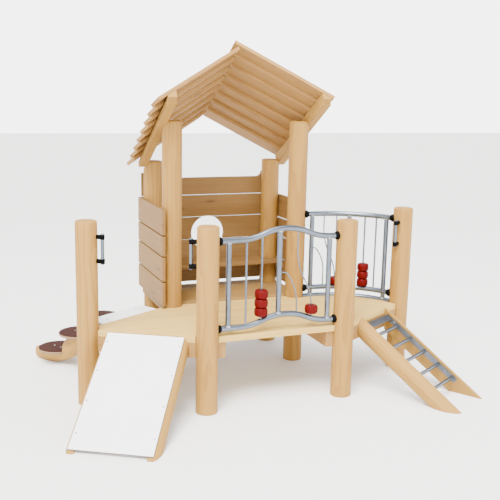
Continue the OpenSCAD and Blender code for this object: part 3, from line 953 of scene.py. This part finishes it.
@dataclass(frozen=True)
class Layout:
    """Directions that the unit is built on, taken from the loaded frame."""

    front_left: Vector
    front_right: Vector
    left_tip: Vector
    right_tip: Vector
    house_left: Vector
    house_right: Vector
    ridge_tilt: float = math.radians(32.0)
    roof_pitch: float = math.radians(33.0)
    slope: float = math.radians(33.0)

    @staticmethod
    def measured() -> "Layout":
        """Read the posts' places from the frame.

        Returns:
            The layout.
        """

        def foot(node: str) -> Vector:
            """The middle of a post, on the ground."""
            low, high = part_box(node)
            return Vector(((low.x + high.x) / 2, (low.y + high.y) / 2, 0.0))

        names = ("front_left", "front_right", "left_tip", "right_tip", "house_left", "house_right")
        return Layout(**{name: foot(f"post_{name}") for name in names})

    def outward(self, first: Vector, second: Vector) -> Vector:
        """The level direction out of the deck at one of its sides.

        Args:
            first: the side's first post, going round the deck.
            second: its second post.

        Returns:
            The unit direction.
        """
        run = (second - first).normalized()
        return Vector((run.y, -run.x, 0.0))

    def downhill(self, first: Vector, second: Vector) -> Vector:
        """The direction down a ramp or ladder at one side.

        Args:
            first: the side's first post.
            second: its second post.

        Returns:
            The unit direction.
        """
        out = self.outward(first, second)
        return out * math.cos(self.slope) - Vector((0.0, 0.0, math.sin(self.slope)))

    def rafter(self, hand: float) -> Vector:
        """The direction along the boards of one roof half.

        Args:
            hand: 1 for the right half, -1 for the left.

        Returns:
            The unit direction.
        """
        level = Vector((hand * math.cos(self.roof_pitch), 0.0, -math.sin(self.roof_pitch)))
        return Matrix.Rotation(-self.ridge_tilt, 3, "X") @ level

    def ridge(self) -> Vector:
        """The direction down the ridge to the rear."""
        return Matrix.Rotation(-self.ridge_tilt, 3, "X") @ Vector((0.0, 1.0, 0.0))


# ---- sub-assemblies ----------------------------------------------------------


@dataclass
class Structure:
    """Posts, joists and beams; the bearers are cut with the stair."""

    shop: Workshop
    layout: Layout
    post_edge: float = 0.004

    def build(self) -> None:
        """Cut every structural timber."""
        posts = Timber(self.shop, self.post_edge)
        upright = Vector(Axis.UPRIGHT.value)
        for name in (
            "left_tip", "right_tip", "front_left", "front_right",
            "house_left", "house_right", "rear_left", "rear_right",
        ):
            posts.cut(f"post_{name}", "post_wood", upright, pith=(0.0, 0.03))
        timber = Timber(self.shop)
        timber.cut("joists", "frame_wood", Vector(Axis.ALONG_Y.value))
        spot = self.layout
        for name, first, second in (
            ("beam_ramp", spot.left_tip, spot.front_left),
            ("beam_ladder", spot.front_right, spot.right_tip),
            ("beam_side", spot.right_tip, spot.house_right),
            ("beam_stair", spot.house_left, spot.left_tip),
        ):
            timber.cut(name, "frame_wood", second - first)


@dataclass
class Deck:
    """Deck and house floor with their screws."""

    shop: Workshop
    screw_r: float = 0.0045
    screw_h: float = 0.0006

    def build(self) -> None:
        """Cut the boards and drive their screws."""
        timber = Timber(self.shop, 0.003)
        level = Vector(Axis.ALONG_X.value)
        timber.cut("deck_planks", "deck_wood", level)
        timber.cut("floor_planks", "floor_wood", level)
        self._screws()

    def _screws(self) -> None:
        """Set two small screw heads where each board crosses a joist."""
        parts = []
        joists = self._joist_lines()
        for node in ("deck_planks", "floor_planks"):
            bm = self.shop.merged_copy(node)
            for group in self.shop.islands(bm):
                low = min(vert.co.y for vert in group)
                high = max(vert.co.y for vert in group)
                top = max(vert.co.z for vert in group)
                for middle in joists:
                    for share in (0.25, 0.75):
                        place = Vector((middle, low + (high - low) * share, top - 0.0007))
                        if self._on_board(group, place):
                            parts.append((self._head(), Matrix.Translation(place)))
            bm.free()
        self.shop.piece(
            "deck_screws", Turned.gather(parts), self.shop.palette.other["screw_steel"], "screw_steel"
        )

    def _joist_lines(self) -> list[float]:
        """Measure where the joists run.

        Returns:
            The X of each joist's middle, in metres.
        """
        bm = self.shop.merged_copy("joists")
        lines = []
        for group in self.shop.islands(bm):
            across = [vert.co.x for vert in group]
            lines.append((min(across) + max(across)) / 2)
        bm.free()
        return lines

    @staticmethod
    def _on_board(group: list[bmesh.types.BMVert], place: Vector) -> bool:
        """Whether a place lies well inside a board's length.

        Args:
            group: the board's points.
            place: the place.

        Returns:
            True if the board reaches past it.
        """
        low = min(vert.co.x for vert in group)
        high = max(vert.co.x for vert in group)
        return low + 0.02 < place.x < high - 0.02

    def _head(self) -> bmesh.types.BMesh:
        """One flush screw head with a round drive."""
        profile = [
            (0.0, 0.0), (self.screw_r, 0.0), (self.screw_r, self.screw_h),
            (self.screw_r * 0.45, self.screw_h),
            (self.screw_r * 0.4, self.screw_h * 0.2), (0.0, self.screw_h * 0.2),
        ]
        return Turned.ring(profile, 12, False)


@dataclass
class House:
    """Walls, bench, roof and eave beams."""

    shop: Workshop
    layout: Layout
    board_edge: float = 0.0035

    def build(self) -> None:
        """Cut every timber of the house."""
        timber = Timber(self.shop, self.board_edge)
        for name in ("wall_left", "wall_right"):
            timber.cut(name, "wall_wood", Vector(Axis.ALONG_Y.value))
        for name in ("wall_rear", "wall_rear_top", "bench_seat"):
            timber.cut(name, "wall_wood", Vector(Axis.ALONG_X.value))
        timber.cut("bench_cleats", "frame_wood", Vector(Axis.ALONG_X.value))
        timber.cut("wall_batten", "frame_wood", Vector(Axis.UPRIGHT.value))
        timber.cut("roof_left", "roof_wood", self.layout.rafter(-1.0), 0.002)
        timber.cut("roof_right", "roof_wood", self.layout.rafter(1.0), 0.002)
        timber.cut("eaves", "eave_wood", self.layout.ridge())


@dataclass
class Bead:
    """Round-edged play bead on a wire."""

    shop: Workshop
    bore: float = 0.0085
    edge: float = 0.015
    crown: float = 0.0015
    lip: float = 0.002

    def build(self, node: str) -> None:
        """Turn the bead that stands for a node.

        Args:
            node: the CAD node, which is also the body's name.
        """
        low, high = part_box(node)
        side = (high.x - low.x) / 2
        tall = high.z - low.z
        middle = Vector(((low.x + high.x) / 2, (low.y + high.y) / 2, low.z))
        foot = side - self.crown - self.edge
        profile = [(self.bore, self.lip), (self.bore + self.lip, 0.0), (foot * 0.6, 0.0)]
        profile += Turned.arc((foot, self.edge), self.edge, -90.0, 0.0, 8)
        profile += [
            (side - self.crown * 0.35, tall * 0.36),
            (side, tall * 0.5), (side - self.crown * 0.35, tall * 0.64),
        ]
        profile += Turned.arc((foot, tall - self.edge), self.edge, 0.0, 90.0, 8)
        profile += [(foot * 0.6, tall), (self.bore + self.lip, tall), (self.bore, tall - self.lip)]
        bm = Turned.ring(profile, 56, True)
        bmesh.ops.translate(bm, verts=bm.verts[:], vec=middle)
        self.shop.piece(
            f"{node}_turned", bm, self.shop.palette.other["red_bead"], "red_bead", node, (node,), 50.0
        )


@dataclass
class Railing:
    """One bead railing: tubes, uprights, rods, wires, sockets, weld beads and red beads."""

    shop: Workshop
    prefix: str
    rails: Sequence[str]
    weld: float = 0.003

    def build(self) -> None:
        """Dress the steel, add the welds and turn the beads."""
        finishes = self.shop.palette.other
        for name in (*self.rails, "uprights", "bars", "wires"):
            self.shop.dress(f"{self.prefix}_{name}", finishes["steel"])
        self._sockets()
        self._welds()
        for place in ("low", "mid", "high", "wave"):
            Bead(self.shop).build(f"{self.prefix}_bead_{place}")

    def _sockets(self) -> None:
        """Soften the moulded sockets at the tubes' ends."""
        node = f"{self.prefix}_sockets"
        bm = self.shop.merged_copy(node)
        self.shop.soften(bm, 0.003, 3, 50.0)
        self.shop.piece(
            f"{node}_moulded", bm, self.shop.palette.other["black_plastic"], "black_plastic",
            nodes=(node,), crease=35.0,
        )

    def _welds(self) -> None:
        """Lay a small fillet where each rod meets the upper and lower tube."""
        parts = []
        tube_r = 0.019
        for name in ("uprights", "bars"):
            bm = self.shop.merged_copy(f"{self.prefix}_{name}")
            for group in self.shop.islands(bm):
                low = Vector(min(vert.co[axis] for vert in group) for axis in range(3))
                high = Vector(max(vert.co[axis] for vert in group) for axis in range(3))
                rod = (high.x - low.x) / 2
                middle = (low + high) / 2
                for height, way in ((high.z - tube_r, -1.0), (low.z + tube_r, 1.0)):
                    dip = tube_r - math.sqrt(max(tube_r * tube_r - min(rod, tube_r * 0.9) ** 2, 0.0))
                    place = Vector((middle.x, middle.y, height - way * dip * 0.5))
                    parts.append((self._fillet(rod, dip), Turned.aim(place, Vector((0.0, 0.0, way)))))
            bm.free()
        self.shop.piece(
            f"{self.prefix}_welds", Turned.gather(parts), self.shop.palette.other["screw_steel"],
            "steel", crease=60.0,
        )

    def _fillet(self, rod: float, dip: float) -> bmesh.types.BMesh:
        """One weld ring round a rod.

        Args:
            rod: the rod's radius.
            dip: how far the tube falls away under the rod's sides.

        Returns:
            The ring.
        """
        reach = self.weld
        profile = [(rod - 0.001, -dip * 0.5), (rod + reach, -dip * 0.5)]
        profile += Turned.arc((rod + reach * 0.2, dip * 0.3), reach * 0.8, 0.0, 90.0, 4)
        profile += [(rod - 0.001, dip * 0.3 + reach * 0.8)]
        return Turned.ring(profile, 28, True)


@dataclass
class PanelCutter:
    """Rounds a laminate panel and marks where its dark core shows."""

    shop: Workshop
    corner: float = 0.0012

    def cut(self, node: str, finish: str, up: Vector, thick: float) -> None:
        """Make the softened panel that stands for a node.

        Args:
            node: the CAD node's name.
            finish: the panel's finish, which is also the slot.
            up: the direction out of its face.
            thick: its thickness, in metres.
        """
        bm = self.shop.merged_copy(node)
        self.shop.soften(bm, self.corner, 2, 50.0)
        edge_faces = [face for face in bm.faces if abs(face.normal.dot(up)) < 0.3]
        bmesh.ops.inset_individual(bm, faces=edge_faces, thickness=thick * 0.08, depth=0.0)
        layer = bm.verts.layers.float.new("core")
        for face in edge_faces:
            for vert in face.verts:
                vert[layer] = 1.0
        self.shop.piece(
            f"{node}_pressed", bm, self.shop.palette.other[finish], finish, nodes=(node,)
        )


@dataclass
class Ramp:
    """White ramp panel on two half logs."""

    shop: Workshop
    layout: Layout
    panel: float = 0.015

    def build(self) -> None:
        """Cut the logs and the panel."""
        down = self.layout.downhill(self.layout.left_tip, self.layout.front_left)
        timber = Timber(self.shop, 0.004)
        for name in ("ramp_log_left", "ramp_log_right"):
            timber.cut(name, "log_wood", down, pith=(0.0, 0.03))
        out = self.layout.outward(self.layout.left_tip, self.layout.front_left)
        up = out * math.sin(self.layout.slope) + Vector((0.0, 0.0, math.cos(self.layout.slope)))
        PanelCutter(self.shop).cut("ramp_panel", "white_panel", up, self.panel)


@dataclass
class Ladder:
    """Half logs with steel strips and rungs; the cross plate is not made here."""

    shop: Workshop
    layout: Layout

    def build(self) -> None:
        """Cut the logs, soften the strips and dress the rungs."""
        down = self.layout.downhill(self.layout.front_right, self.layout.right_tip)
        timber = Timber(self.shop, 0.004)
        for name in ("ladder_log_left", "ladder_log_right"):
            timber.cut(name, "log_wood", down, pith=(0.0, 0.03))
        steel = self.shop.palette.other["steel"]
        bm = self.shop.merged_copy("ladder_strips")
        self.shop.soften(bm, 0.001, 2, 50.0)
        self.shop.piece("ladder_strips_rolled", bm, steel, "steel", nodes=("ladder_strips",))
        self.shop.dress("ladder_rungs", steel)


@dataclass
class Stair:
    """Swept log, round treads, entry plate and its bearers."""

    shop: Workshop
    layout: Layout
    tread_round: float = 0.003
    plate: float = 0.015

    def build(self) -> None:
        """Cut the log, turn the treads and press the entry plate."""
        first, second = self.layout.house_left, self.layout.left_tip
        out = self.layout.outward(first, second)
        timber = Timber(self.shop, 0.004)
        timber.cut("stair_log", "log_wood", out - Vector((0.0, 0.0, 0.5)), pith=(0.0, 0.03))
        Timber(self.shop).cut("entry_bearers", "frame_wood", out)
        PanelCutter(self.shop).cut("entry_plate", "white_panel", Vector(Axis.UPRIGHT.value), self.plate)
        self._treads()

    def _treads(self) -> None:
        """Turn a round-edged disc for each tread, with its core showing on the rim."""
        source = self.shop.merged_copy("stair_treads")
        parts = []
        for group in self.shop.islands(source):
            low = Vector(min(vert.co[axis] for vert in group) for axis in range(3))
            high = Vector(max(vert.co[axis] for vert in group) for axis in range(3))
            side, tall = (high.x - low.x) / 2, high.z - low.z
            round_r = self.tread_round
            profile = [(0.0, 0.0), (side * 0.6, 0.0)]
            profile += Turned.arc((side - round_r, round_r), round_r, -90.0, 0.0, 4)
            profile += Turned.arc((side - round_r, tall - round_r), round_r, 0.0, 90.0, 4)
            profile += [(side * 0.6, tall), (0.0, tall)]
            disc = Turned.ring(profile, 72, False)
            layer = disc.verts.layers.float.new("core")
            for vert in disc.verts:
                rim = math.hypot(vert.co.x, vert.co.y) > side - round_r * 0.5
                vert[layer] = 1.0 if rim and vert.co.z < tall - round_r * 0.6 else 0.0
            middle = Vector(((low.x + high.x) / 2, (low.y + high.y) / 2, low.z))
            parts.append((disc, Matrix.Translation(middle)))
        source.free()
        self.shop.piece(
            "stair_treads_pressed", Turned.gather(parts),
            self.shop.palette.other["brown_panel"], "brown_panel",
            nodes=("stair_treads",), crease=40.0,
        )


@dataclass
class GrabBars:
    """Upright steel bars with moulded feet."""

    shop: Workshop
    dome: float = 0.004

    def build(self) -> None:
        """Turn the bars and soften their feet."""
        source = self.shop.merged_copy("grab_bars")
        parts = []
        for group in self.shop.islands(source):
            low = Vector(min(vert.co[axis] for vert in group) for axis in range(3))
            high = Vector(max(vert.co[axis] for vert in group) for axis in range(3))
            side, tall = (high.x - low.x) / 2, high.z - low.z
            profile = [(0.0, 0.0)] + Turned.arc((side - self.dome, self.dome), self.dome, -90.0, 0.0, 4)
            profile += Turned.arc((side - self.dome, tall - self.dome), self.dome, 0.0, 90.0, 4)
            profile += [(0.0, tall)]
            middle = Vector(((low.x + high.x) / 2, (low.y + high.y) / 2, low.z))
            parts.append((Turned.ring(profile, 32, False), Matrix.Translation(middle)))
        source.free()
        self.shop.piece(
            "grab_bars_turned", Turned.gather(parts), self.shop.palette.other["steel"], "steel",
            nodes=("grab_bars",), crease=50.0,
        )
        bm = self.shop.merged_copy("grab_feet")
        self.shop.soften(bm, 0.002, 2, 60.0)
        self.shop.piece(
            "grab_feet_moulded", bm, self.shop.palette.other["black_plastic"], "black_plastic",
            nodes=("grab_feet",), crease=35.0,
        )


@dataclass
class Screws:
    """Domed screw heads with a round drive, in place of the plain ones."""

    shop: Workshop
    drive: float = 0.38

    def build(self) -> None:
        """Turn a head for each screw of the CAD node."""
        source = self.shop.merged_copy("screw_heads")
        parts = []
        for group in self.shop.islands(source):
            place, way, side, tall = self._axis(group)
            profile = [(side * 0.96, 0.0), (side, tall * 0.2)]
            profile += [(side * 0.86, tall * 0.62), (side * 0.62, tall * 0.9), (side * self.drive, tall)]
            profile += [(side * (self.drive - 0.05), tall * 0.35), (0.0, tall * 0.3)]
            parts.append((Turned.ring([(0.0, 0.0), *profile], 16, False), Turned.aim(place, way)))
        source.free()
        self.shop.piece(
            "screw_heads_domed", Turned.gather(parts), self.shop.palette.other["screw_steel"], "screw_steel",
            nodes=("screw_heads",), crease=40.0,
        )

    @staticmethod
    def _axis(group: list[bmesh.types.BMVert]) -> tuple[Vector, Vector, float, float]:
        """Find how a plain head stands.

        Args:
            group: its points.

        Returns:
            The middle of its foot, the way it points, its radius and its height.
        """
        faces = {face for vert in group for face in vert.link_faces if len(face.verts) > 8}
        foot = max(faces, key=lambda face: face.calc_area())
        tip = min(faces, key=lambda face: face.calc_area())
        start, end = foot.calc_center_median(), tip.calc_center_median()
        radius = max((vert.co - start).length for vert in foot.verts)
        return start, end - start, radius, (end - start).length


# ---- stage -------------------------------------------------------------------


@dataclass
class Studio:
    """Pale floor, soft light and camera."""

    floor_size: float = 60.0
    camera_place: tuple[float, float, float] = (-2.0327, -5.1352, 2.044)
    right: tuple[float, float, float] = (0.9287, -0.3709, 0.0)
    up: tuple[float, float, float] = (0.0728, 0.1822, 0.9806)
    roll: float = 0.0207
    lens: float = 58.25
    horizon: float = 5.6
    zenith: float = 0.9
    fade_from: float = 0.12
    fade_to: float = 0.5
    sun: float = 8.5
    sun_spread: float = 35.0
    sun_heading: tuple[float, float, float] = (0.35, 0.45, -1.0)

    def build(self) -> None:
        """Lay the floor, set the lights and the camera."""
        self._floor()
        self._world()
        self._sun()
        self._lamp("key", (-3.6, -4.6, 6.4), 2.2, 500.0, (1.0, 0.975, 0.94))
        self._lamp("fill", (5.0, -4.0, 3.4), 4.0, 160.0, (0.94, 0.97, 1.0))
        self._lamp("top", (0.4, 0.6, 7.0), 4.0, 300.0, (1.0, 1.0, 1.0))
        self._camera()

    def _floor(self) -> None:
        """A large pale sheet with a faint unevenness."""
        bm = bmesh.new()
        bmesh.ops.create_grid(bm, x_segments=2, y_segments=2, size=self.floor_size / 2)
        mesh = bpy.data.meshes.new("floor")
        bm.to_mesh(mesh)
        bm.free()
        sheet = NodeSheet("floor_paint")
        cloud = sheet.noise(sheet.place(), 0.6, 3.0)
        mesh.materials.append(
            sheet.finish(
                {
                    "Base Color": sheet.blend(cloud, (0.90, 0.90, 0.905), (0.92, 0.92, 0.92)),
                    "Roughness": 0.75,
                    "Specular IOR Level": 0.2,
                }
            )
        )
        floor = bpy.data.objects.new("floor", mesh)
        bpy.context.scene.collection.objects.link(floor)

    def _world(self) -> None:
        """White surroundings, brightest near the horizon."""
        world = bpy.data.worlds.new("studio")
        world.use_nodes = True
        tree = world.node_tree
        place = tree.nodes.new("ShaderNodeTexCoord")
        parts = tree.nodes.new("ShaderNodeSeparateXYZ")
        fade = tree.nodes.new("ShaderNodeMapRange")
        fade.interpolation_type = "SMOOTHSTEP"
        for name, value in (
            ("From Min", self.fade_from),
            ("From Max", self.fade_to),
            ("To Min", self.horizon),
            ("To Max", self.zenith),
        ):
            fade.inputs[name].default_value = value
        tree.links.new(place.outputs["Generated"], parts.inputs[0])
        tree.links.new(parts.outputs["Z"], fade.inputs["Value"])
        tree.links.new(fade.outputs["Result"], tree.nodes["Background"].inputs["Strength"])
        tree.nodes["Background"].inputs["Color"].default_value = (1.0, 1.0, 1.0, 1.0)
        bpy.context.scene.world = world

    def _sun(self) -> None:
        """A broad overhead light with soft shadows."""
        data = bpy.data.lights.new("sun", "SUN")
        data.energy = self.sun
        data.angle = math.radians(self.sun_spread)
        data.color = (1.0, 0.98, 0.94)
        sun = bpy.data.objects.new("sun", data)
        sun.rotation_euler = Vector(self.sun_heading).to_track_quat("-Z", "Y").to_euler()
        bpy.context.scene.collection.objects.link(sun)

    def _lamp(
        self, name: str, place: tuple[float, float, float], size: float, power: float, colour: Colour
    ) -> None:
        """Hang one soft lamp that points at the unit.

        Args:
            name: the lamp's name.
            place: where it hangs.
            size: the side of its panel, in metres.
            power: its power in watts.
            colour: its colour.
        """
        data = bpy.data.lights.new(name, "AREA")
        data.shape = "SQUARE"
        data.size = size
        data.energy = power
        data.color = colour
        lamp = bpy.data.objects.new(name, data)
        lamp.location = place
        aim = Vector((0.0, 0.0, 0.9)) - Vector(place)
        lamp.rotation_euler = aim.to_track_quat("-Z", "Y").to_euler()
        bpy.context.scene.collection.objects.link(lamp)

    def _camera(self) -> None:
        """Set the camera where the unit is seen from the front left."""
        right, up = Vector(self.right).normalized(), Vector(self.up)
        up = (up - right * up.dot(right)).normalized()
        turned_right = right * math.cos(self.roll) + up * math.sin(self.roll)
        turned_up = up * math.cos(self.roll) - right * math.sin(self.roll)
        back = turned_right.cross(turned_up)
        matrix = Matrix((turned_right, turned_up, back)).transposed().to_4x4()
        matrix.translation = Vector(self.camera_place)
        data = bpy.data.cameras.new("camera")
        data.lens = self.lens
        data.sensor_width = 36.0
        data.clip_end = 200.0
        camera = bpy.data.objects.new("camera", data)
        camera.matrix_world = matrix
        bpy.context.scene.collection.objects.link(camera)
        bpy.context.scene.camera = camera


def main() -> None:
    """Build the unit's classes in order and report each piece."""
    logging.basicConfig(level=logging.INFO, format="%(name)s %(message)s")
    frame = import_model()
    shop = Workshop(frame, Palette().build())
    layout = Layout.measured()
    steps: tuple[Callable[[], None], ...] = (
        Structure(shop, layout).build,
        Deck(shop).build,
        House(shop, layout).build,
        Railing(shop, "front", ("rail_top", "rail_low")).build,
        Railing(shop, "side", ("rail_top", "rail_low", "rail_toe")).build,
        Ramp(shop, layout).build,
        Ladder(shop, layout).build,
        Stair(shop, layout).build,
        GrabBars(shop).build,
        Screws(shop).build,
        Studio().build,
    )
    for step in steps:
        step()


if __name__ == "__main__":
    main()
